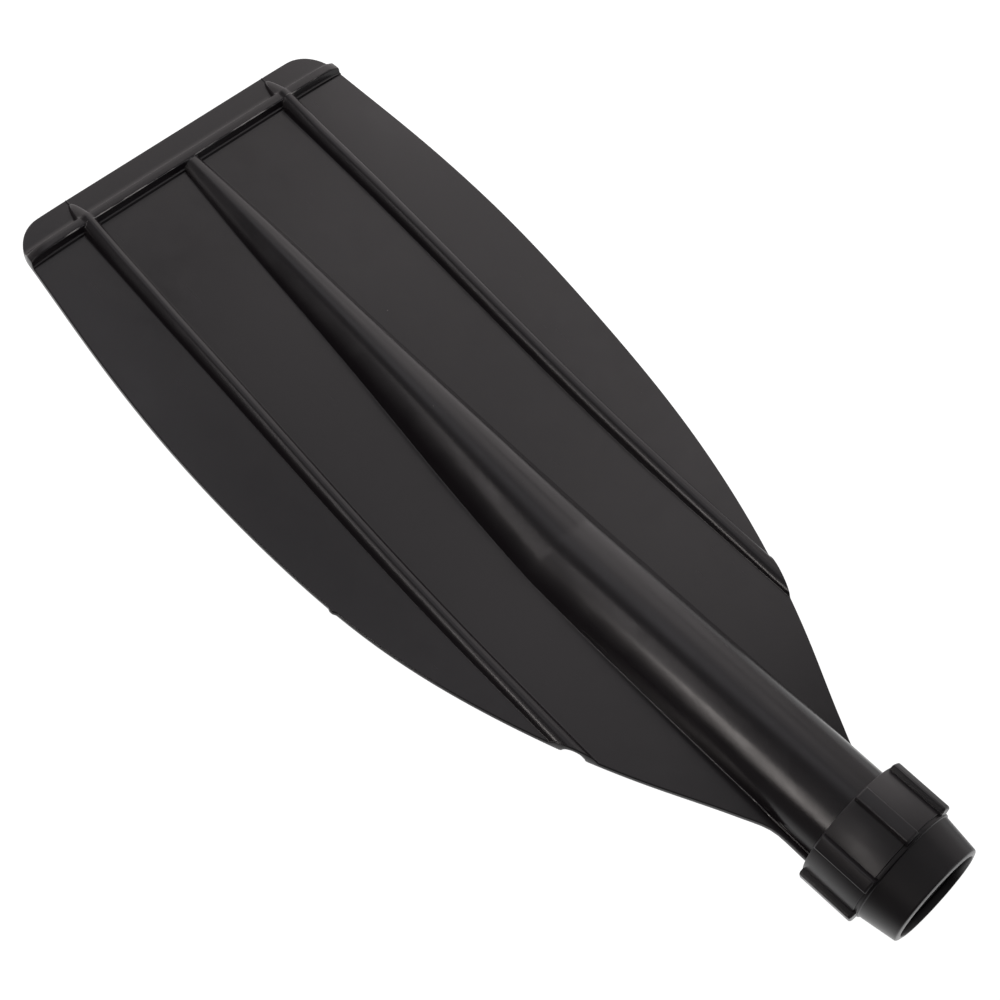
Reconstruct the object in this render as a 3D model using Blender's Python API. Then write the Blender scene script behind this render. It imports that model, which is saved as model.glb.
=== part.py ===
"""Blade head of a telescopic paddle: the moulded blade with its shaft socket, and the clamp nut,
split collet, slip washer and seal ring that grip and seal the shaft.

Metres, +Z up. The origin is the centre of the socket's stop face, where the shaft's end lands.
+X runs along the shaft and out of the socket's mouth, +Z is the ribbed side of the blade.
Sizes below are in millimetres, x is measured from the stop face along the shaft.
"""
import math

import bmesh
import bpy
import numpy as np
from mathutils import Matrix

MM = 0.001

# Shaft, and the clearances round it
SHAFT_DIAMETER = 35.0
SOCKET_PLAY = 0.25          # socket wall to shaft, on the radius
COLLET_PLAY = 0.10          # open collet to shaft, on the radius
LIP_PLAY = 0.90             # nut's mouth to shaft, on the radius
FIT_GAP = 0.30              # between two pieces that bear on each other

# Socket tube, moulded with the blade
TUBE_WALL = 2.0
STOP_WALL = 3.0
SOCKET_DEPTH = 142.0
THREAD_LENGTH = 21.0
THREAD_HEIGHT = 1.45
NECK_CHAMFER = 0.7
ROOT_FILLET = 2.0           # where the tube and the spine stand on the plate

# Blade plate
PLATE_LENGTH = 355.6
PLATE_NUT_GAP = 0.5         # from the end of the plate's edge on the tube to the nut
BLADE_WIDTH = 172.2
TIP_RISE = 38.75            # top of the plate at the tip, above the shaft's axis
PLATE_THICKNESS = 2.0
TIP_CORNER_RADIUS = 14.5
SLOPE_REACH = 5.0           # length over which the side's slope at the tip corner is taken

# Half width of the plate: (share of the plate's length from its neck end, share of the full half width)
OUTLINE = ((0.000, 0.258), (0.025, 0.259), (0.040, 0.264), (0.055, 0.286), (0.067, 0.312),
           (0.081, 0.342), (0.152, 0.501), (0.292, 0.754), (0.433, 0.915), (0.573, 0.985),
           (0.714, 1.000), (0.855, 0.955), (0.939, 0.907), (1.000, 0.873))
NECK_SHARE = 0.09           # part of the length with the tight curve beside the tube

# Height of the plate's top face over the axis: (share of the length, share of the rise at the tip)
CAMBER = ((0.000, -0.048), (0.081, -0.005), (0.152, 0.031), (0.292, 0.103), (0.433, 0.200),
          (0.573, 0.374), (0.714, 0.596), (0.855, 0.807), (1.000, 1.000))

# Spine: the tube's upper half runs on from the kink as a bead that tapers to the cross rib
KINK = 20.0                 # behind the stop face
SPINE_WALL = 2.3
SPINE_END_HALF_WIDTH = 4.2
SPINE_END_HEIGHT = 3.8
FILLET_SHARE = 0.4          # most that the root fillet takes of a low spine's height
TUBE_SINK = 1.0             # how deep the sheet lies in the tube's wall, so that the two join
TUBE_SINK_LENGTH = 4.0
# (share of the way from the kink to the cross rib, share of the taper done in width, in height)
SPINE_TAPER = ((0.00, 0.00, 0.00), (0.22, 0.23, 0.05), (0.42, 0.455, 0.28), (0.62, 0.625, 0.58),
               (0.82, 0.78, 0.81), (1.00, 1.00, 1.00))

# Side ribs: two hollow beads that run from the tip out over the plate's edge
SIDE_RIB_WIDTH = 7.3
SIDE_RIB_HEIGHT = 4.0
SIDE_RIB_HEAD_HEIGHT = 4.9  # where the side rib crosses the cross rib
SIDE_RIB_HEAD_LENGTH = 17.0
SIDE_RIB_END_HEIGHT = 2.8   # where it runs out over the plate's edge
SIDE_RIB_FALL_START = 205.0 # from the tip
SIDE_RIB_FALL_END = 275.0
SIDE_RIB_WALL = 1.8
SIDE_RIB_LEAST_HOLLOW = 0.2
SIDE_RIB_TIP_SPACING = 98.2
SIDE_RIB_BEND_SPACING = 102.2
SIDE_RIB_BEND = 63.7        # from the tip
SIDE_RIB_SPREAD = 0.0414    # widening of the spacing for each mm past the bend
SIDE_RIB_TIP_MARGIN = 2.3   # from the tip to the point of the rib
SIDE_RIB_POINT = 0.06       # share of the full width left at the point

# Cross rib, a solid bar across the tip
CROSS_RIB_FACE = 14.6       # from the tip to its wall on the shaft's side
CROSS_RIB_CREST = 3.2
CROSS_RIB_HEIGHT = 4.4
CROSS_RIB_DRAFT = 0.4
CROSS_RIB_TIP_SLOPE = 2.6
CROSS_RIB_END_LENGTH = 5.0  # along which the rib falls towards the plate's edge
CROSS_RIB_END_SHARE = 0.6   # share of the height left at the edge

# Seal ring and slip washer
SEAL_THICKNESS = 2.0
WASHER_THICKNESS = 1.2
WASHER_MARGIN = 0.8         # washer's rim inside the neck's rim

# Split collet
COLLET_LENGTH = 12.4
COLLET_BACK_WALL = 2.8
COLLET_FRONT_WALL = 1.1
COLLET_SPLIT = 3.0
COLLET_SLOT = 1.6
COLLET_SLOT_COUNT = 5
COLLET_SLOT_END = 3.0       # wall left at the end of a part slot

# Clamp nut
NUT_SKIRT = 1.6             # past the end of the thread
NUT_BODY_LENGTH = 24.6
NUT_WALL = 2.6
NUT_CHAMFER = 0.6
NUT_SHOULDER = 0.2
FRONT_RING_WIDTH = 1.2      # the bead round the front of the nut's body
FRONT_RING_RISE = 0.35
FRONT_RING_EASE = 0.3
NOSE_WALL = 2.2
NOSE_STEP = 1.0
LIP_LENGTH = 3.0
LIP_ROUND = 1.5
LIP_CHAMFER = 0.3
GRIP_RIB_COUNT = 7
GRIP_RIB_HEIGHT = 2.4
GRIP_RIB_FOOT = 7.0         # width where the rib stands on the body
GRIP_RIB_TOP = 5.4
GRIP_RIB_EDGE = 0.7
GRIP_RIB_SINK = 0.8         # how deep the rib's bar lies in the body
GRIP_RIB_SLOPE = 1.3        # length of the slope at its front end
GRIP_RIB_TURN = math.radians(47.8)  # first rib, from +Y towards +Z

# Fineness of the round shapes
TUBE_STEPS = 72
NUT_STEPS = 84
RING_STEPS = 56
SPINE_POINTS = 15
SIDE_RIB_POINTS = 7
STATION_STEP = 10.0

# How far the cutters and the oversize sheet reach past what they cut
SHEET_MARGIN = 10.0
SHEET_END_MARGIN = 3.0
CUT_MARGIN = 1.0
THIN_CUT_MARGIN = 0.1

# Places and radii that follow from the sizes above
SHAFT_RADIUS = SHAFT_DIAMETER / 2
BORE_RADIUS = SHAFT_RADIUS + SOCKET_PLAY
TUBE_RADIUS = BORE_RADIUS + TUBE_WALL
NECK_RADIUS = TUBE_RADIUS + THREAD_HEIGHT
THREAD_START = SOCKET_DEPTH - THREAD_LENGTH
NUT_BACK = THREAD_START - NUT_SKIRT
PLATE_END = NUT_BACK - PLATE_NUT_GAP
TIP = PLATE_END - PLATE_LENGTH
CROSS_RIB_X = TIP + CROSS_RIB_FACE

SEAL_INNER = SHAFT_RADIUS + COLLET_PLAY
SEAL_OUTER = SEAL_INNER + SEAL_THICKNESS
SEAL_GROOVE_RADIUS = SEAL_OUTER + FIT_GAP
SEAL_GROOVE_START = SOCKET_DEPTH - SEAL_THICKNESS - FIT_GAP

WASHER_START = SOCKET_DEPTH + FIT_GAP
COLLET_START = WASHER_START + WASHER_THICKNESS + FIT_GAP
COLLET_END = COLLET_START + COLLET_LENGTH
COLLET_INNER = SHAFT_RADIUS + COLLET_PLAY

NUT_STEP = NUT_BACK + NUT_BODY_LENGTH
NUT_BORE_RADIUS = NECK_RADIUS + FIT_GAP
NUT_BODY_RADIUS = NUT_BORE_RADIUS + NUT_WALL
LIP_START = COLLET_END + FIT_GAP
NUT_MOUTH = LIP_START + LIP_LENGTH
LIP_RADIUS = SHAFT_RADIUS + LIP_PLAY


def smooth(points):
    """A natural cubic curve through a short list of (x, y) points."""
    x = np.array([point[0] for point in points])
    y = np.array([point[1] for point in points])
    step = np.diff(x)
    slope = np.diff(y) / step
    matrix = np.eye(len(x))
    load = np.zeros(len(x))
    for i in range(1, len(x) - 1):
        matrix[i, i - 1:i + 2] = step[i - 1], 2 * (step[i - 1] + step[i]), step[i]
        load[i] = 6 * (slope[i] - slope[i - 1])
    bend = np.linalg.solve(matrix, load)

    def curve(at):
        i = int(np.clip(np.searchsorted(x, at) - 1, 0, len(x) - 2))
        left = (x[i + 1] - at) / step[i]
        right = 1 - left
        chord = left * y[i] + right * y[i + 1]
        sag = (left ** 3 - left) * bend[i] + (right ** 3 - right) * bend[i + 1]
        return chord + sag * step[i] ** 2 / 6

    return curve


outline_curve = smooth(OUTLINE)
camber_curve = smooth(CAMBER)
spine_width_curve = smooth([(way, width) for way, width, height in SPINE_TAPER])
spine_height_curve = smooth([(way, height) for way, width, height in SPINE_TAPER])


def plate_top(x):
    return TIP_RISE * camber_curve((PLATE_END - x) / PLATE_LENGTH)


def plate_half_width(x):
    return BLADE_WIDTH / 2 * outline_curve((PLATE_END - x) / PLATE_LENGTH)


def spine_arc(x):
    """Half width and height over the plate of the arc that makes the tube's top or the spine."""
    z = plate_top(x)
    if x >= -KINK:
        radius = TUBE_RADIUS - TUBE_SINK / 2 * min(1.0, (x + KINK) / TUBE_SINK_LENGTH)
        return math.sqrt(radius ** 2 - z ** 2), radius - z
    start_z = plate_top(-KINK)
    start_width = math.sqrt(TUBE_RADIUS ** 2 - start_z ** 2)
    start_height = TUBE_RADIUS - start_z
    way = min((-KINK - x) / (-KINK - CROSS_RIB_X), 1.0)
    width = start_width + (SPINE_END_HALF_WIDTH - start_width) * spine_width_curve(way)
    height = start_height + (SPINE_END_HEIGHT - start_height) * spine_height_curve(way)
    return width, height


def side_rib_line(x):
    """Distance of a side rib's centre line from the middle of the blade."""
    from_tip = x - TIP
    if from_tip < SIDE_RIB_BEND:
        spacing = np.interp(from_tip, (SIDE_RIB_TIP_MARGIN, SIDE_RIB_BEND),
                            (SIDE_RIB_TIP_SPACING, SIDE_RIB_BEND_SPACING))
    else:
        spacing = SIDE_RIB_BEND_SPACING + SIDE_RIB_SPREAD * (from_tip - SIDE_RIB_BEND)
    return spacing / 2


def side_rib_fullness(x):
    """Near 0 at the rib's slender point, 1 from the cross rib on."""
    crest_end = CROSS_RIB_FACE - CROSS_RIB_CREST
    way = float(np.interp(x - TIP, (SIDE_RIB_TIP_MARGIN, crest_end), (0.0, 1.0)))
    return SIDE_RIB_POINT + (1.0 - SIDE_RIB_POINT) * way ** 2


def side_rib_height(x):
    height = np.interp(x - TIP, (CROSS_RIB_FACE, CROSS_RIB_FACE + SIDE_RIB_HEAD_LENGTH,
                                 SIDE_RIB_FALL_START, SIDE_RIB_FALL_END),
                       (SIDE_RIB_HEAD_HEIGHT, SIDE_RIB_HEIGHT, SIDE_RIB_HEIGHT, SIDE_RIB_END_HEIGHT))
    return height * side_rib_fullness(x)


def cross_rib_height(x):
    foot = CROSS_RIB_FACE - CROSS_RIB_CREST - CROSS_RIB_TIP_SLOPE
    return float(np.interp(x - TIP,
                           (foot, CROSS_RIB_FACE - CROSS_RIB_CREST,
                            CROSS_RIB_FACE, CROSS_RIB_FACE + CROSS_RIB_DRAFT),
                           (0.0, CROSS_RIB_HEIGHT, CROSS_RIB_HEIGHT, 0.0)))


def ellipse(centre, half_width, base, height, count):
    """Points over an arch, from its -Y foot to its +Y foot."""
    turns = np.linspace(math.pi, 0.0, count)
    return [(centre + half_width * math.cos(a), base + height * math.sin(a)) for a in turns]


def spine_section(x):
    """Top and under side of the spine or tube, with the root fillet, heights from the plate's top."""
    width, height = spine_arc(x)
    radius = (width ** 2 + height ** 2) / (2 * height)
    centre = height - radius
    fillet = min(ROOT_FILLET, FILLET_SHARE * height)
    reach = math.acos((fillet - centre) / radius)
    arc = [(radius * math.sin(a), centre + radius * math.cos(a))
           for a in np.linspace(-reach, reach, SPINE_POINTS)]
    foot = math.sqrt(TUBE_RADIUS ** 2 - plate_top(x) ** 2) if x >= -KINK else width
    corner = ((foot + fillet, 0.0), (foot + 0.3 * fillet, 0.3 * fillet))
    top = [(-y, z) for y, z in corner] + arc + [corner[1], corner[0]]

    inner = max(radius - SPINE_WALL, 0.5)
    under = -PLATE_THICKNESS
    inner_reach = math.acos(max(0.0, min((under - centre) / inner, 0.95)))
    inner_arc = [(inner * math.sin(a), centre + inner * math.cos(a))
                 for a in np.linspace(-inner_reach, inner_reach, SPINE_POINTS)]
    edge = inner_arc[-1][0]
    inner_arc[0] = (-edge, under)
    inner_arc[-1] = (edge, under)
    feet = ((foot + fillet, under), ((foot + fillet + edge) / 2, under))
    bottom = [(-y, z) for y, z in feet] + inner_arc + [feet[1], feet[0]]
    return top, bottom


def blade_section(x):
    """Two rows of points across the blade, top and under side, oversize in width."""
    side = BLADE_WIDTH / 2 + SHEET_MARGIN
    plate = plate_top(x)
    line = side_rib_line(x)
    fullness = side_rib_fullness(x)
    half = SIDE_RIB_WIDTH / 2 * fullness
    hollow_half = max(half - SIDE_RIB_WALL, SIDE_RIB_LEAST_HOLLOW)
    hollow_height = (side_rib_height(x) + PLATE_THICKNESS - SIDE_RIB_WALL) * fullness ** 2
    under = -PLATE_THICKNESS
    # Past the side rib, the cross rib falls from the first place to the second, at the edge
    fall = max(line + SIDE_RIB_WIDTH, plate_half_width(x) - CROSS_RIB_END_LENGTH)
    edge = fall + CROSS_RIB_END_LENGTH
    spine_top, spine_bottom = spine_section(x)
    spine = float(np.interp(x, (CROSS_RIB_X - CROSS_RIB_CREST, CROSS_RIB_X), (0.0, 1.0)))
    spine_top = [(y, z * spine) for y, z in spine_top]
    spine_bottom = [(y, under + (z - under) * spine) for y, z in spine_bottom]
    top = ([(-side, 0.0), (-edge, 0.0), (-fall, 0.0)]
           + ellipse(-line, half, 0.0, side_rib_height(x), SIDE_RIB_POINTS)
           + spine_top
           + ellipse(line, half, 0.0, side_rib_height(x), SIDE_RIB_POINTS)
           + [(fall, 0.0), (edge, 0.0), (side, 0.0)])
    bottom = ([(-side, under), (-edge, under), (-fall, under)]
              + ellipse(-line, hollow_half, under, hollow_height, SIDE_RIB_POINTS)
              + spine_bottom
              + ellipse(line, hollow_half, under, hollow_height, SIDE_RIB_POINTS)
              + [(fall, under), (edge, under), (side, under)])
    crests = cross_rib_height(x) * np.interp([abs(y) for y, z in top], (fall, edge),
                                             (1.0, CROSS_RIB_END_SHARE))
    top = [(y, plate + max(z, crest)) for (y, z), crest in zip(top, crests)]
    bottom = [(y, plate + z) for y, z in bottom]
    return top, bottom


def stations():
    """The x of each section: even steps, and one at each place where the form changes."""
    foot = CROSS_RIB_X - CROSS_RIB_CREST - CROSS_RIB_TIP_SLOPE
    marks = [TIP - SHEET_END_MARGIN, TIP + SIDE_RIB_TIP_MARGIN,
             (TIP + SIDE_RIB_TIP_MARGIN + foot) / 2, foot, CROSS_RIB_X - CROSS_RIB_CREST,
             CROSS_RIB_X, CROSS_RIB_X + CROSS_RIB_DRAFT, CROSS_RIB_X + SIDE_RIB_HEAD_LENGTH,
             TIP + SIDE_RIB_BEND, -KINK, TUBE_SINK_LENGTH - KINK, PLATE_END + SHEET_END_MARGIN]
    marks.sort()
    places = []
    for start, end in zip(marks, marks[1:]):
        pieces = max(1, round((end - start) / STATION_STEP))
        places += [start + (end - start) * i / pieces for i in range(pieces)]
    return places + [marks[-1]]


def new_object(name, bm, material=None):
    mesh = bpy.data.meshes.new(name)
    bm.to_mesh(mesh)
    bm.free()
    obj = bpy.data.objects.new(name, mesh)
    bpy.context.collection.objects.link(obj)
    if material:
        mesh.materials.append(material)
    return obj


def closed(bm):
    bmesh.ops.remove_doubles(bm, verts=bm.verts, dist=1e-7)
    bmesh.ops.dissolve_degenerate(bm, edges=bm.edges, dist=1e-8)
    bmesh.ops.recalc_face_normals(bm, faces=bm.faces)
    return bm


def lofted_sheet():
    """The blade's sheet: the sections joined along x, both sides, and closed all round."""
    bm = bmesh.new()
    rows = []
    for x in stations():
        rows.append([[bm.verts.new((x * MM, y * MM, z * MM)) for y, z in side]
                     for side in blade_section(x)])
    for (top, bottom), (next_top, next_bottom) in zip(rows, rows[1:]):
        for i in range(len(top) - 1):
            bm.faces.new((top[i], top[i + 1], next_top[i + 1], next_top[i]))
            bm.faces.new((bottom[i], next_bottom[i], next_bottom[i + 1], bottom[i + 1]))
        for i in (0, -1):
            bm.faces.new((top[i], next_top[i], next_bottom[i], bottom[i]))
    for top, bottom in (rows[0], rows[-1]):
        for i in range(len(top) - 1):
            bm.faces.new((top[i], bottom[i], bottom[i + 1], top[i + 1]))
    bmesh.ops.triangulate(bm, faces=bm.faces)
    return closed(bm)


def blade_outline():
    """The plan shape as a closed list of (x, y): straight tip edge, round corners, curved sides."""
    side = []
    corner_x = TIP + TIP_CORNER_RADIUS
    slope = (plate_half_width(corner_x + SLOPE_REACH) - plate_half_width(corner_x)) / SLOPE_REACH
    lean = math.atan(slope)
    touch = plate_half_width(corner_x - TIP_CORNER_RADIUS * math.sin(lean))
    centre_y = touch - TIP_CORNER_RADIUS * math.cos(lean)
    for a in np.linspace(math.pi, math.pi / 2 + lean, 9):
        side.append((corner_x + TIP_CORNER_RADIUS * math.cos(a),
                     centre_y + TIP_CORNER_RADIUS * math.sin(a)))
    start = side[-1][0]
    neck = PLATE_END - NECK_SHARE * PLATE_LENGTH
    for first, last, step in ((start, neck, STATION_STEP), (neck, PLATE_END, STATION_STEP / 4)):
        count = round((last - first) / step)
        for i in range(1, count + 1):
            x = first + (last - first) * i / count
            side.append((x, plate_half_width(x)))
    return side + [(x, -y) for x, y in reversed(side)]


def upright_prism(outline, low, high):
    bm = bmesh.new()
    face = bm.faces.new([bm.verts.new((x * MM, y * MM, low * MM)) for x, y in outline])
    grown = bmesh.ops.extrude_face_region(bm, geom=[face])
    verts = [item for item in grown["geom"] if isinstance(item, bmesh.types.BMVert)]
    bmesh.ops.translate(bm, verts=verts, vec=(0, 0, (high - low) * MM))
    bmesh.ops.triangulate(bm, faces=bm.faces, ngon_method="EAR_CLIP")
    return closed(bm)


def turned(profile, steps, ring=True):
    """A body turned about the X axis from a list of (x, radius). A ring's profile is closed,
    a solid's runs from axis to axis."""
    bm = bmesh.new()
    verts = [bm.verts.new((x * MM, 0, radius * MM)) for x, radius in profile]
    pairs = list(zip(verts, verts[1:]))
    if ring:
        pairs.append((verts[-1], verts[0]))
    edges = [bm.edges.new(pair) for pair in pairs]
    bmesh.ops.spin(bm, geom=verts + edges, axis=(1, 0, 0), cent=(0, 0, 0),
                   steps=steps, angle=2 * math.pi, use_merge=True)
    return closed(bm)


def block(low, high):
    """A box between two corners in mm."""
    bm = bmesh.new()
    bmesh.ops.create_cube(bm, size=1.0)
    for vert in bm.verts:
        vert.co = [MM * (a if c < 0 else b) for c, a, b in zip(vert.co, low, high)]
    bmesh.ops.recalc_face_normals(bm, faces=bm.faces)
    return bm


def combine(target, tool, operation):
    """A Boolean of one body with another, applied; the tool is used up."""
    modifier = target.modifiers.new(operation, "BOOLEAN")
    modifier.operation = operation
    modifier.solver = "EXACT"
    modifier.object = tool
    bpy.context.view_layer.update()
    evaluated = target.evaluated_get(bpy.context.evaluated_depsgraph_get())
    mesh = bpy.data.meshes.new_from_object(evaluated)
    target.modifiers.clear()
    target.data = mesh
    bpy.data.objects.remove(tool)


def finish(obj, origin_x):
    """Smooth shading with sharp edges kept, and the origin on the shaft's axis."""
    mesh = obj.data
    bm = bmesh.new()
    bm.from_mesh(mesh)
    bmesh.ops.translate(bm, verts=bm.verts, vec=(-origin_x * MM, 0, 0))
    bm.to_mesh(mesh)
    bm.free()
    obj.location = (origin_x * MM, 0, 0)
    mesh.shade_smooth()
    mesh.set_sharp_from_angle(angle=math.radians(30))


def plastic(name, color, roughness):
    material = bpy.data.materials.new(name)
    material.use_nodes = True
    shader = material.node_tree.nodes["Principled BSDF"]
    shader.inputs["Base Color"].default_value = (*color, 1.0)
    shader.inputs["Roughness"].default_value = roughness
    shader.inputs["Metallic"].default_value = 0.0
    return material


def make_blade(material):
    blade = new_object("blade", lofted_sheet(), material)
    reach = TIP_RISE + 3 * TUBE_RADIUS
    combine(blade, new_object("outline", upright_prism(blade_outline(), -reach, reach)), "INTERSECT")

    start = -KINK - CUT_MARGIN / 2
    tube = turned([(start, 0.0), (start, TUBE_RADIUS),
                   (THREAD_START - THREAD_HEIGHT, TUBE_RADIUS), (THREAD_START, NECK_RADIUS),
                   (SOCKET_DEPTH - NECK_CHAMFER, NECK_RADIUS),
                   (SOCKET_DEPTH, NECK_RADIUS - NECK_CHAMFER), (SOCKET_DEPTH, 0.0)],
                  TUBE_STEPS, ring=False)
    combine(blade, new_object("tube", tube), "UNION")

    bore = turned([(0.0, 0.0), (0.0, BORE_RADIUS), (SEAL_GROOVE_START, BORE_RADIUS),
                   (SEAL_GROOVE_START, SEAL_GROOVE_RADIUS),
                   (SOCKET_DEPTH + CUT_MARGIN, SEAL_GROOVE_RADIUS),
                   (SOCKET_DEPTH + CUT_MARGIN, 0.0)],
                  TUBE_STEPS, ring=False)
    combine(blade, new_object("bore", bore), "DIFFERENCE")

    end = start - THIN_CUT_MARGIN
    trough = turned([(end, 0.0), (end, BORE_RADIUS), (-STOP_WALL, BORE_RADIUS), (-STOP_WALL, 0.0)],
                    TUBE_STEPS, ring=False)
    combine(blade, new_object("trough", trough), "DIFFERENCE")
    under = plate_top(-STOP_WALL) - PLATE_THICKNESS - 2 * THIN_CUT_MARGIN
    reach = TUBE_RADIUS + CUT_MARGIN
    below = block((start - CUT_MARGIN, -reach, -reach), (-STOP_WALL, reach, under))
    combine(blade, new_object("below", below), "DIFFERENCE")
    finish(blade, 0.0)
    return blade


def nut_inner_radius(x):
    """The nut's cone, parallel to the collet's taper."""
    way = (x - COLLET_START) / COLLET_LENGTH
    wall = COLLET_BACK_WALL + (COLLET_FRONT_WALL - COLLET_BACK_WALL) * way
    return COLLET_INNER + wall + FIT_GAP


def nut_profile():
    shoulder = COLLET_START + NUT_SHOULDER
    nose_start = NUT_STEP + NOSE_STEP
    nose_end = NUT_MOUTH - LIP_ROUND
    nose_end_radius = nut_inner_radius(nose_end) + NOSE_WALL
    lip = [(nose_end + LIP_ROUND * math.sin(a), nose_end_radius - LIP_ROUND * (1 - math.cos(a)))
           for a in np.linspace(0.0, math.pi / 2, 5)]
    ring_start = NUT_STEP - FRONT_RING_WIDTH
    ring_radius = NUT_BODY_RADIUS + FRONT_RING_RISE
    return ([(NUT_BACK, NUT_BODY_RADIUS - NUT_CHAMFER), (NUT_BACK + NUT_CHAMFER, NUT_BODY_RADIUS),
             (ring_start, NUT_BODY_RADIUS), (ring_start + FRONT_RING_EASE, ring_radius),
             (NUT_STEP - FRONT_RING_EASE, ring_radius), (NUT_STEP, NUT_BODY_RADIUS),
             (nose_start, nut_inner_radius(nose_start) + NOSE_WALL)]
            + lip
            + [(NUT_MOUTH, LIP_RADIUS + LIP_CHAMFER), (NUT_MOUTH - LIP_CHAMFER, LIP_RADIUS),
               (LIP_START, LIP_RADIUS),
               (LIP_START, nut_inner_radius(LIP_START)), (shoulder, nut_inner_radius(shoulder)),
               (shoulder, NUT_BORE_RADIUS), (NUT_BACK + NUT_CHAMFER, NUT_BORE_RADIUS),
               (NUT_BACK, NUT_BORE_RADIUS + NUT_CHAMFER)])


def grip_ribs():
    """The ribs along the nut, each a bar with drafted sides and eased edges that is sunk into the
    body and slopes down to the bead at the front."""
    foot = GRIP_RIB_FOOT / 2
    shoulder = GRIP_RIB_TOP / 2
    low = NUT_BODY_RADIUS - GRIP_RIB_SINK
    front = NUT_STEP - FRONT_RING_WIDTH + FRONT_RING_EASE
    rings_at = ((NUT_BACK + NUT_CHAMFER / 2, GRIP_RIB_HEIGHT - NUT_CHAMFER / 2),
                (NUT_BACK + NUT_CHAMFER, GRIP_RIB_HEIGHT),
                (front - GRIP_RIB_SLOPE, GRIP_RIB_HEIGHT), (front, FRONT_RING_RISE))
    bm = bmesh.new()
    for i in range(GRIP_RIB_COUNT):
        turn = GRIP_RIB_TURN + 2 * math.pi * i / GRIP_RIB_COUNT
        across = (-math.sin(turn), math.cos(turn))
        out = (math.cos(turn), math.sin(turn))
        rings = []
        for x, height in rings_at:
            top = NUT_BODY_RADIUS + height
            ease = min(GRIP_RIB_EDGE, height)
            half = [(foot, low), (foot, NUT_BODY_RADIUS - FIT_GAP), (shoulder, top - ease),
                    (shoulder - ease, top)]
            section = half + [(-s, r) for s, r in reversed(half)]
            rings.append([bm.verts.new((x * MM, (s * across[0] + r * out[0]) * MM,
                                        (s * across[1] + r * out[1]) * MM)) for s, r in section])
        bm.faces.new(rings[0])
        bm.faces.new(rings[-1])
        for ring, next_ring in zip(rings, rings[1:]):
            for k in range(len(ring)):
                n = (k + 1) % len(ring)
                bm.faces.new((ring[k], ring[n], next_ring[n], next_ring[k]))
    return closed(bm)


def make_nut(material):
    nut = new_object("clamp_nut", turned(nut_profile(), NUT_STEPS), material)
    combine(nut, new_object("ribs", grip_ribs()), "UNION")
    finish(nut, NUT_BACK)
    return nut


def make_collet(material):
    back = COLLET_INNER + COLLET_BACK_WALL
    front = COLLET_INNER + COLLET_FRONT_WALL
    collet = new_object("split_collet", turned([(COLLET_START, back), (COLLET_END, front),
                                                (COLLET_END, COLLET_INNER),
                                                (COLLET_START, COLLET_INNER)], RING_STEPS), material)
    inside, outside = COLLET_INNER - CUT_MARGIN, back + CUT_MARGIN
    split = block((COLLET_START - CUT_MARGIN, inside, -COLLET_SPLIT / 2),
                  (COLLET_END + CUT_MARGIN, outside, COLLET_SPLIT / 2))
    combine(collet, new_object("split", split), "DIFFERENCE")
    for i in range(1, COLLET_SLOT_COUNT + 1):
        turn = 2 * math.pi * i / (COLLET_SLOT_COUNT + 1)
        start = COLLET_START - CUT_MARGIN if i % 2 else COLLET_START + COLLET_SLOT_END
        end = COLLET_END - COLLET_SLOT_END if i % 2 else COLLET_END + CUT_MARGIN
        slot = block((start, inside, -COLLET_SLOT / 2), (end, outside, COLLET_SLOT / 2))
        bmesh.ops.rotate(slot, verts=slot.verts, cent=(0, 0, 0),
                         matrix=Matrix.Rotation(turn, 3, "X"))
        combine(collet, new_object("slot", slot), "DIFFERENCE")
    finish(collet, COLLET_START)
    return collet


def make_washer(material):
    outer = NECK_RADIUS - WASHER_MARGIN
    end = WASHER_START + WASHER_THICKNESS
    washer = new_object("slip_washer", turned([(WASHER_START, outer), (end, outer),
                                               (end, BORE_RADIUS), (WASHER_START, BORE_RADIUS)],
                                              RING_STEPS), material)
    finish(washer, WASHER_START)
    return washer


def make_seal(material):
    radius = SEAL_THICKNESS / 2
    middle = SOCKET_DEPTH - radius
    profile = [(middle + radius * math.sin(a), SEAL_INNER + radius + radius * math.cos(a))
               for a in np.linspace(0.0, 2 * math.pi, 10, endpoint=False)]
    seal = new_object("seal_ring", turned(profile, RING_STEPS), material)
    finish(seal, middle)
    return seal


def main():
    for obj in list(bpy.data.objects):
        bpy.data.objects.remove(obj)
    blade_black = plastic("satin black nylon", (0.030, 0.029, 0.029), 0.42)
    nut_black = plastic("moulded black nylon", (0.034, 0.033, 0.034), 0.50)
    acetal = plastic("grey acetal", (0.060, 0.060, 0.062), 0.45)
    rubber = plastic("black rubber", (0.018, 0.018, 0.018), 0.75)
    make_blade(blade_black)
    make_nut(nut_black)
    make_collet(acetal)
    make_washer(acetal)
    make_seal(rubber)


main()
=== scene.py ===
"""The look of a telescopic paddle's blade head: a black nylon blade moulded in one piece with its
shaft socket, and the clamp nut, collet, washer and seal at the socket's mouth.

Lengths in the lists and values below are millimetres in the part's frame, and MM turns them into
Blender's metres. x runs along the shaft and out of the mouth, z points to the ribbed side.
"""
import math

import bmesh
import bpy
import numpy as np
from mathutils import Matrix, Vector


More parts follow.
